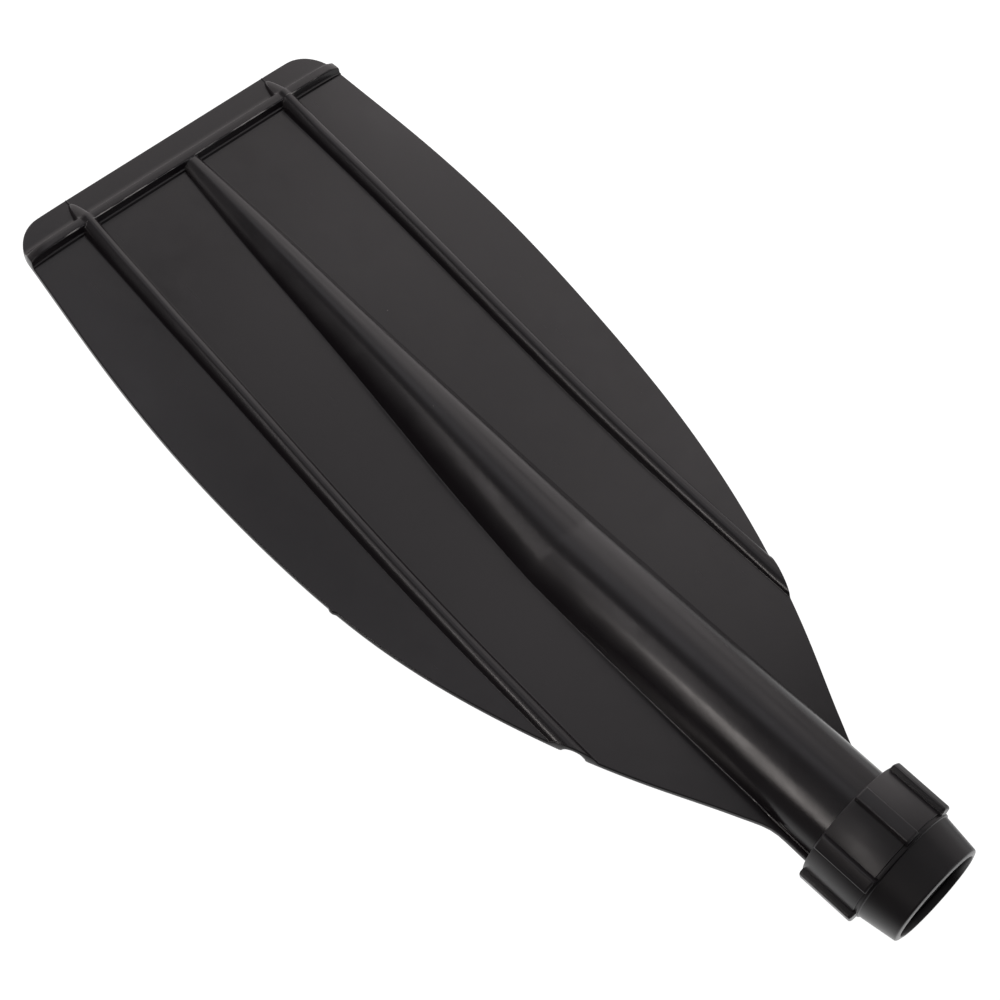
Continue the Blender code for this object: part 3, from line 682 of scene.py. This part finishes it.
def make_nut():
    """One seventh of the nut with its grip rib, spun seven times round."""
    start = GRIP_RIB_TURN - NUT_SECTOR / 2
    nut = closed_outline("clamp_nut_shell", nut_outline(), turn=start)
    open_edit(nut, "EDGE")
    bpy.ops.mesh.select_all(action="SELECT")
    bpy.ops.mesh.spin(steps=NUT_SECTOR_STEPS, angle=-NUT_SECTOR, center=(0, 0, 0),
                      axis=SHAFT_AXIS)
    bpy.ops.mesh.select_all(action="SELECT")
    bpy.ops.mesh.normals_make_consistent(inside=False)

    # Each row of vertices is turned a little so that one stands on each side of the rib
    bm = bmesh.from_edit_mesh(nut.data)
    side_steps = (NUT_SECTOR_STEPS - NUT_RIB_STEPS) / 2
    half = NUT_SECTOR / 2
    for vert in bm.verts:
        place = (math.atan2(vert.co.z, vert.co.y) - start) / NUT_SECTOR * NUT_SECTOR_STEPS
        place = np.interp(place, (0, side_steps, side_steps + NUT_RIB_STEPS, NUT_SECTOR_STEPS),
                          (0, half - HALF_RIB_TURN, half + HALF_RIB_TURN, NUT_SECTOR))
        radius = math.hypot(vert.co.y, vert.co.z)
        vert.co.y = radius * math.cos(start + place)
        vert.co.z = radius * math.sin(start + place)
    bmesh.update_edit_mesh(nut.data)

    def off_rib(co):
        return abs(math.atan2(co.z, co.y) - GRIP_RIB_TURN)

    def under_rib(face):
        """Says whether a face of the body's outside is one that the rib stands on."""
        x, y, z = middle = face.calc_center_median()
        return (BODY_START * MM < x < RING_FRONT * MM and off_rib(middle) < HALF_RIB_TURN
                and math.hypot(y, z) > (RING_RADIUS - 0.5) * MM)

    def rib_edge(edge):
        """Says whether an edge is one of the sharp ones round the rib's top."""
        heights = [math.hypot(v.co.y, v.co.z) / MM - NUT_BODY_RADIUS for v in edge.verts]
        return (edge.calc_face_angle(0.0) > math.radians(25)
                and GRIP_RIB_HEIGHT - 0.1 < min(heights) and max(heights) < GRIP_RIB_HEIGHT + 0.1
                and all(off_rib(v.co) < HALF_RIB_TURN + 0.01
                        and (BODY_START - 0.01) * MM < v.co.x < (RING_FRONT + 0.01) * MM
                        for v in edge.verts))

    # The extruded faces rise to one radius, whatever they stand on, and draw in to the rib's top
    bpy.ops.mesh.select_mode(type="FACE")
    select_by(nut, under_rib, "faces")
    bpy.ops.mesh.extrude_region_move(TRANSFORM_OT_translate={"value": (0, 0, 0)})
    bm = bmesh.from_edit_mesh(nut.data)
    radius = (NUT_BODY_RADIUS + GRIP_RIB_HEIGHT) * MM
    for vert in bm.verts:
        if vert.select:
            turn = math.atan2(vert.co.z, vert.co.y) - GRIP_RIB_TURN
            turn = GRIP_RIB_TURN + turn * GRIP_RIB_TOP_SHARE
            vert.co.y, vert.co.z = radius * math.cos(turn), radius * math.sin(turn)
            if vert.co.x > (RING_FRONT - 0.01) * MM:
                vert.co.x -= GRIP_RIB_END_SLOPE * MM
    bm.normal_update()
    bmesh.update_edit_mesh(nut.data)
    bpy.ops.mesh.select_mode(type="EDGE")
    select_by(nut, rib_edge, "edges")
    bpy.ops.mesh.bevel(offset=GRIP_RIB_EDGE * MM, segments=4, affect="EDGES")

    bpy.ops.mesh.select_all(action="SELECT")
    bpy.ops.mesh.spin(steps=GRIP_RIB_COUNT - 1, angle=-NUT_SECTOR * (GRIP_RIB_COUNT - 1),
                      dupli=True, center=(0, 0, 0), axis=SHAFT_AXIS)
    close_edit()
    tidy_shell(nut, angle=35.0)
    return nut


def make_collet():
    """The CAD node's shape with eased edges: its slots are right, but too sharp."""
    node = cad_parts["split_collet"]
    copy = node.copy()
    copy.data = node.data.copy()
    copy.name = copy.data.name = "split_collet_ring"
    copy.parent = None
    for key in list(copy.keys()):
        del copy[key]
    bpy.context.scene.collection.objects.link(copy)
    copy.data.materials.clear()
    open_edit(copy)
    merge_all()
    bpy.ops.mesh.select_all(action="SELECT")
    bpy.ops.mesh.dissolve_limited(angle_limit=math.radians(0.5))
    close_edit()
    applied(copy, "BEVEL", width=COLLET_EASE * MM, segments=2, limit_method="ANGLE",
            angle_limit=math.radians(40))
    tidy_shell(copy, angle=35.0)
    return copy


def make_washer():
    start, end, outer, ease = WASHER_START, WASHER_END, WASHER_RADIUS, WASHER_EASE
    outline = [(start, BORE_RADIUS + ease), (start, outer - ease), (start + ease, outer),
               (end - ease, outer), (end, outer - ease), (end, BORE_RADIUS + ease),
               (end - ease, BORE_RADIUS), (start + ease, BORE_RADIUS)]
    return spun("slip_washer_ring", outline, RING_STEPS)


def make_seal():
    """The seal ring: a round section with the fine parting ridge that its mould leaves."""
    outline = []
    for a in np.linspace(0.0, 2 * math.pi, SEAL_POINTS, endpoint=False):
        ridge = SEAL_PARTING_RIDGE * abs(math.cos(a)) ** 24
        radius = SEAL_SECTION_RADIUS - SEAL_PARTING_RIDGE + ridge
        outline.append((SEAL_MIDDLE + radius * math.sin(a),
                        SEAL_CENTRE_RADIUS + radius * math.cos(a)))
    return spun("seal_ring_round", outline, RING_STEPS)


blade = make_blade_moulding()
tube = make_socket_tube()
neck_thread = make_thread("neck_thread", NECK_THREAD, THREAD_START)
nut = make_nut()
nut_thread = make_thread("nut_thread", NUT_THREAD, THREAD_START + THREAD_PITCH / 2)
collet = make_collet()
washer = make_washer()
seal = make_seal()

# Materials, with the real sizes of their patterns
FLOW_SIZE = 45.0
SMUDGE_SIZE = 14.0
DUST_SPACING = 11.0
SCUFF_AND_HIGHLIGHT_SIZE = 1.2
SCRATCH_WAVES = (22.0, 1800.0, 22.0)  # in a metre: long along x, fine across
GRAIN_SIZE = 0.5
GRAIN_DEPTH = 0.02
DUST_COLOUR = "#5a5855"
# Colour of the scuffs, light enough to be a painted highlight on the crest's edge as well
SCUFF_AND_HIGHLIGHT_COLOUR = "#aaa8a6"
POLYMER_IOR = 1.53


def linear(code):
    """An sRGB hex colour as linear values."""
    parts = [int(code[i:i + 2], 16) / 255 for i in (1, 3, 5)]
    return (*(c / 12.92 if c <= 0.04045 else ((c + 0.055) / 1.055) ** 2.4 for c in parts), 1.0)


def add_node(tree, kind, inputs=(), **settings):
    """One shader node with its settings. Each input is a value, or the socket that feeds it."""
    made = tree.nodes.new(kind)
    for name, value in settings.items():
        setattr(made, name, value)
    for name, value in dict(inputs).items():
        if isinstance(value, bpy.types.NodeSocket):
            tree.links.new(value, made.inputs[name])
        else:
            made.inputs[name].default_value = value
    return made


def scuffed_and_highlit(tree, place, colour, edge):
    """Bright scuffs, up to about 10 mm long, on an edge that the blade is set down on. They are
    also a painted highlight along the crest's rounded edge.
    """
    low, high, floor = edge
    where = add_node(tree, "ShaderNodeSeparateXYZ", {"Vector": place})
    middle = (low + high) / 2
    within = add_node(tree, "ShaderNodeMath", {
        0: where.outputs["X"], 1: middle * MM, 2: (high - middle) * MM}, operation="COMPARE")
    above = add_node(tree, "ShaderNodeMapRange", {
        "Value": where.outputs["Z"], "From Min": floor * MM, "From Max": (floor + 0.15) * MM})
    along = add_node(tree, "ShaderNodeMapping", {"Vector": place, "Scale": (1.0, 0.12, 1.0)})
    patches = add_node(tree, "ShaderNodeTexNoise", {
        "Vector": along.outputs["Vector"], "Scale": 1 / (SCUFF_AND_HIGHLIGHT_SIZE * MM), "Detail": 3.0})
    broken = add_node(tree, "ShaderNodeMapRange", {
        "Value": patches.outputs["Fac"], "From Min": 0.46, "From Max": 0.60})
    there = add_node(tree, "ShaderNodeMath", {
        0: within.outputs["Value"], 1: above.outputs["Result"]}, operation="MULTIPLY")
    scuff_and_highlight = add_node(tree, "ShaderNodeMath", {
        0: there.outputs["Value"], 1: broken.outputs["Result"]}, operation="MULTIPLY")
    # The scuffs mixed into the colour: real wear, and a painted highlight along the crest's edge
    return add_node(tree, "ShaderNodeMix", {
        "Factor": scuff_and_highlight.outputs["Value"], "A": colour.outputs["Result"],
        "B": linear(SCUFF_AND_HIGHLIGHT_COLOUR)}, data_type="RGBA")


def moulded_plastic(name, dark, light, gloss, grain, dust, scuffed_and_highlit_edge=None):
    """Black polymer out of a steel mould: an even body colour with faint flow clouds, handling
    smudges in the gloss, a fine tool grain, hairline scratches and a few dust specks. gloss is
    the roughness, grain the strength of the relief and dust the share of specks."""
    material = bpy.data.materials.new(name)
    material.use_nodes = True
    tree = material.node_tree
    shader = tree.nodes["Principled BSDF"]
    place = add_node(tree, "ShaderNodeTexCoord").outputs["Object"]

    # Flow clouds, about 45 mm across, drawn out along the blade as the melt ran
    flow = add_node(tree, "ShaderNodeMapping", {"Vector": place, "Scale": (0.35, 1.0, 1.0)})
    clouds = add_node(tree, "ShaderNodeTexNoise", {
        "Vector": flow.outputs["Vector"], "Scale": 1 / (FLOW_SIZE * MM), "Detail": 3.0,
        "Roughness": 0.55})
    body = add_node(tree, "ShaderNodeMix", {
        "Factor": clouds.outputs["Fac"], "A": linear(dark), "B": linear(light)},
        data_type="RGBA")

    # Smudges from handling, about 14 mm across, in the gloss alone
    smudge = add_node(tree, "ShaderNodeTexNoise", {
        "Vector": place, "Scale": 1 / (SMUDGE_SIZE * MM), "Detail": 5.0, "Roughness": 0.6,
        "Distortion": 0.6})
    rough = add_node(tree, "ShaderNodeMapRange", {
        "Value": smudge.outputs["Fac"], "From Min": 0.3, "From Max": 0.7,
        "To Min": gloss - 0.03, "To Max": gloss + 0.05})

    # Hairline scratches: real ones are 0.05 mm wide, drawn 0.25 mm wide so that they show
    turned = add_node(tree, "ShaderNodeMapping", {
        "Vector": place, "Rotation": (0, 0, 0.5), "Scale": SCRATCH_WAVES})
    scratch = add_node(tree, "ShaderNodeTexNoise", {
        "Vector": turned.outputs["Vector"], "Scale": 1.0, "Detail": 1.0})
    line = add_node(tree, "ShaderNodeMapRange", {
        "Value": scratch.outputs["Fac"], "From Min": 0.72, "From Max": 0.80, "To Min": 0.0,
        "To Max": 1.0})
    worn = add_node(tree, "ShaderNodeMath", {0: line.outputs["Result"], 1: 0.03},
                    operation="MULTIPLY")
    rough_all = add_node(tree, "ShaderNodeMath", {
        0: rough.outputs["Result"], 1: worn.outputs["Value"]}, operation="ADD")

    # Dust specks of up to 0.8 mm, a few in each hand's width
    cells = add_node(tree, "ShaderNodeTexVoronoi", {
        "Vector": place, "Scale": 1 / (DUST_SPACING * MM), "Randomness": 1.0})
    seldom = add_node(tree, "ShaderNodeSeparateColor", {"Color": cells.outputs["Color"]})
    reach = add_node(tree, "ShaderNodeMapRange", {
        "Value": seldom.outputs["Red"], "From Min": 1 - dust, "From Max": 1.0, "To Min": 0.0,
        "To Max": 0.035})
    speck = add_node(tree, "ShaderNodeMath", {
        0: cells.outputs["Distance"], 1: reach.outputs["Result"]}, operation="LESS_THAN")
    colour = add_node(tree, "ShaderNodeMix", {
        "Factor": speck.outputs["Value"], "A": body.outputs["Result"],
        "B": linear(DUST_COLOUR)}, data_type="RGBA")
    # Scuffs on the crest's edge, which are also a painted highlight there
    if scuffed_and_highlit_edge:
        colour = scuffed_and_highlit(tree, place, colour, scuffed_and_highlit_edge)

    # The mould's grain: 0.15 mm in the steel, drawn 0.5 mm so that it breaks up the highlights
    fine = add_node(tree, "ShaderNodeTexNoise", {
        "Vector": place, "Scale": 1 / (GRAIN_SIZE * MM), "Detail": 2.0})
    sunk = add_node(tree, "ShaderNodeMath", {0: line.outputs["Result"], 1: -0.2},
                    operation="MULTIPLY")
    relief = add_node(tree, "ShaderNodeMath", {
        0: fine.outputs["Fac"], 1: sunk.outputs["Value"]}, operation="ADD")
    bump = add_node(tree, "ShaderNodeBump", {
        "Height": relief.outputs["Value"], "Strength": grain, "Distance": GRAIN_DEPTH * MM})
    tree.links.new(colour.outputs["Result"], shader.inputs["Base Color"])
    tree.links.new(rough_all.outputs["Value"], shader.inputs["Roughness"])
    tree.links.new(bump.outputs["Normal"], shader.inputs["Normal"])
    shader.inputs["IOR"].default_value = POLYMER_IOR
    return material


# Nylon with glass fibre out of a polished mould: a satin black that draws out the lights
# Its crest edge gets scuffs that are partly a painted highlight
blade_nylon = moulded_plastic("glass_filled_nylon_moulded_satin", "#181417", "#1c181b",
                              0.22, 0.4, 0.10, scuffed_and_highlit_edge=SCUFFED_AND_HIGHLIT_EDGE)
# Nylon out of a finely grained mould: the same black with a duller, wider shine
nut_nylon = moulded_plastic("nylon_moulded_fine_grain", "#171417", "#1b171a", 0.34, 0.5, 0.12)
# Acetal dyed right through: a dark grey with a waxy half shine
acetal = moulded_plastic("acetal_moulded", "#18181a", "#1c1c1e", 0.50, 0.3, 0.02)
# Nitrile rubber out of a blasted mould: nearly matt black
nitrile = moulded_plastic("nitrile_rubber_moulded", "#141414", "#191919", 0.62, 0.6, 0.02)


def dress(piece, material, body, slot, *nodes):
    """Gives a piece its material, says which body it rides on and hides the CAD parts
    that it replaces.
    """
    piece.data.materials.clear()
    piece.data.materials.append(material)
    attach(piece, body)
    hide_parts(*nodes)


dress(blade, blade_nylon, "root", "blade_plastic", "blade")
dress(tube, blade_nylon, "root", "blade_plastic", "blade")
dress(neck_thread, blade_nylon, "root", "blade_plastic", "blade")
dress(nut, nut_nylon, "nut", "nut_plastic", "clamp_nut")
dress(nut_thread, nut_nylon, "nut", "nut_plastic", "clamp_nut")
dress(collet, acetal, "collet", "collet_plastic", "split_collet")
dress(washer, acetal, "root", "collet_plastic", "slip_washer")
dress(seal, nitrile, "root", "seal_rubber", "seal_ring")

# Floor, light and camera
# Places and lengths from here on are in metres
WHITE = "#ffffff"
FLOOR_PAPER = "#808080"
FLOOR_SIZE = 40.0
FLOOR_HEIGHT = -0.0272
POOL_WAY = (-0.29, 0.957, 0.0)  # across the part, from the near side to the far
POOL_START = -0.125         # along that way: where the floor's glow begins,
POOL_FULL = -0.045          # is at its full strength,
POOL_END = 0.22             # and has come down to its far strength
POOL_GLOW = 1.2
POOL_FAR_GLOW = 0.45
SHADE_MIDDLE = (0.135, 0.135, 0.0)
SHADE_CORE = 0.02
SHADE_REACH = 0.10
SHADE_LEFT = 0.12           # share of the glow left in the shade's core
ROOM_LOW = 0.06             # the room's brightness at the horizon
ROOM_HIGH = 0.20            # and overhead
LIGHT_POWER = 4.0           # watts for each unit of brightness and square metre


def camera_switch(tree, seen, lit):
    """A value that is one thing to the camera's own rays and another to all reflected ones. It
    burns the background out to white, as in the photograph, without flooding the plastic."""
    ray = add_node(tree, "ShaderNodeLightPath").outputs["Is Camera Ray"]
    return add_node(tree, "ShaderNodeMix", {"Factor": ray, "A": lit, "B": seen},
                    data_type="FLOAT").outputs["Result"]


def make_floor():
    """A plain studio floor of matt white paper, which mirrors nothing. It glows: evenly white
    to the camera, and to the plastic with a painted pool of light and painted shade.
    """
    deselect_all()
    bpy.ops.mesh.primitive_plane_add(size=FLOOR_SIZE, location=(0, 0, FLOOR_HEIGHT))
    floor = started("studio_floor")
    material = bpy.data.materials.new("white_studio_paper")
    material.use_nodes = True
    tree = material.node_tree
    shader = tree.nodes["Principled BSDF"]
    shader.inputs["Base Color"].default_value = linear(FLOOR_PAPER)
    shader.inputs["Roughness"].default_value = 0.9
    shader.inputs["Specular IOR Level"].default_value = 0.0
    shader.inputs["Emission Color"].default_value = linear(WHITE)

    # A painted pool of light round the part, falling off faster on the near side than on the far
    place = add_node(tree, "ShaderNodeTexCoord").outputs["Object"]
    across = add_node(tree, "ShaderNodeVectorMath", {0: place, 1: POOL_WAY},
                      operation="DOT_PRODUCT").outputs["Value"]
    near = add_node(tree, "ShaderNodeMapRange", {
        "Value": across, "From Min": POOL_START, "From Max": POOL_FULL},
        interpolation_type="SMOOTHSTEP")
    far = add_node(tree, "ShaderNodeMapRange", {
        "Value": across, "From Min": POOL_FULL, "From Max": POOL_END, "To Min": POOL_GLOW,
        "To Max": POOL_FAR_GLOW})
    pool = add_node(tree, "ShaderNodeMath", {
        0: near.outputs["Result"], 1: far.outputs["Result"]}, operation="MULTIPLY")

    # The painted shade beyond the nut, where the lights don't reach
    apart = add_node(tree, "ShaderNodeVectorMath", {0: place, 1: SHADE_MIDDLE},
                     operation="DISTANCE").outputs["Value"]
    shade = add_node(tree, "ShaderNodeMapRange", {
        "Value": apart, "From Min": SHADE_CORE, "From Max": SHADE_REACH, "To Min": SHADE_LEFT,
        "To Max": 1.0}, interpolation_type="SMOOTHSTEP")
    glow = add_node(tree, "ShaderNodeMath", {
        0: pool.outputs["Value"], 1: shade.outputs["Result"]}, operation="MULTIPLY")
    strength = camera_switch(tree, 1.0, glow.outputs["Value"])
    tree.links.new(strength, shader.inputs["Emission Strength"])
    floor.data.materials.append(material)


def make_room():
    """The dim room over the part, a little brighter overhead."""
    world = bpy.data.worlds.new("studio_room")
    bpy.context.scene.world = world
    world.use_nodes = True
    tree = world.node_tree
    background = tree.nodes["Background"]
    way = add_node(tree, "ShaderNodeTexCoord").outputs["Generated"]
    parts = add_node(tree, "ShaderNodeSeparateXYZ", {"Vector": way})
    high = add_node(tree, "ShaderNodeMapRange", {
        "Value": parts.outputs["Z"], "From Min": 0.0, "From Max": 1.0, "To Min": ROOM_LOW,
        "To Max": ROOM_HIGH}, interpolation_type="SMOOTHSTEP")
    strength = camera_switch(tree, 1.0, high.outputs["Result"])
    tree.links.new(strength, background.inputs["Strength"])
    background.inputs["Color"].default_value = linear(WHITE)


def soft_light(name, turn, rise, away, size, brightness, colour, lean=0.0):
    """A soft box that faces the part: its direction from the part in degrees round from +X and
    up, its distance and size in metres, its brightness for each area and how far it leans over."""
    turn, rise = math.radians(turn), math.radians(rise)
    level = math.cos(rise)
    at = Vector((level * math.cos(turn), level * math.sin(turn), math.sin(rise))) * away
    deselect_all()
    bpy.ops.object.light_add(type="AREA", location=at)
    light = bpy.context.object
    light.name = name
    light.rotation_euler = (at.to_track_quat("Z", "Y").to_matrix()
                            @ Matrix.Rotation(math.radians(lean), 3, "Z")).to_euler()
    light.data.shape = "RECTANGLE"
    light.data.size, light.data.size_y = size
    light.data.energy = brightness * LIGHT_POWER * size[0] * size[1]
    light.data.color = linear(colour)[:3]
    light.visible_camera = False


def make_camera(place, right, up, back, lens):
    """A camera at a place in metres that looks away from back, with its lens in mm."""
    data = bpy.data.cameras.new("camera")
    camera = bpy.data.objects.new("camera", data)
    bpy.context.scene.collection.objects.link(camera)
    data.sensor_width = 36.0
    data.lens = lens
    data.clip_start = 0.01
    turned = Matrix((right, up, back)).transposed().to_4x4()
    camera.matrix_world = Matrix.Translation(place) @ turned
    bpy.context.scene.camera = camera


make_floor()
make_room()
# Two strips that lean with the blade draw the bright streak down the tube and the spine
soft_light("strip_low", -92, 26.6, 0.67, (0.07, 0.33), 5.3, "#fff8f4", lean=23)
soft_light("strip_high", -108, 48.9, 0.96, (0.09, 0.60), 1.6, "#fff8f8", lean=23)
# Two boxes off the mouth's end and over the part, for the nut and the tube's top
soft_light("end_box", 35, 30, 1.00, (0.35, 0.35), 1.0, "#fdfaff")
soft_light("over_box", 120, 77, 1.00, (0.55, 0.45), 0.18, "#fdfaff")
# The broad, dim lights beyond the tip and the far edge, which the plate and the ribs mirror
soft_light("end_wall", 169, 11, 0.69, (3.02, 1.43), 0.52, "#fff8f8")
soft_light("far_box", 111, 52, 0.86, (0.35, 0.42), 0.41, "#fff8f9")
soft_light("side_wall", 127, 13, 0.60, (4.00, 1.20), 0.27, "#fff8f8")
soft_light("top_box", 143, 70, 2.97, (0.86, 1.16), 0.30, "#fdfaff")
make_camera(place=(0.25427, -0.48026, 0.80674), right=(0.709377, 0.690335, 0.142203),
            up=(-0.632404, 0.534314, 0.560869), back=(0.311206, -0.487798, 0.815600), lens=96.9)
bpy.context.scene.view_settings.view_transform = "Standard"
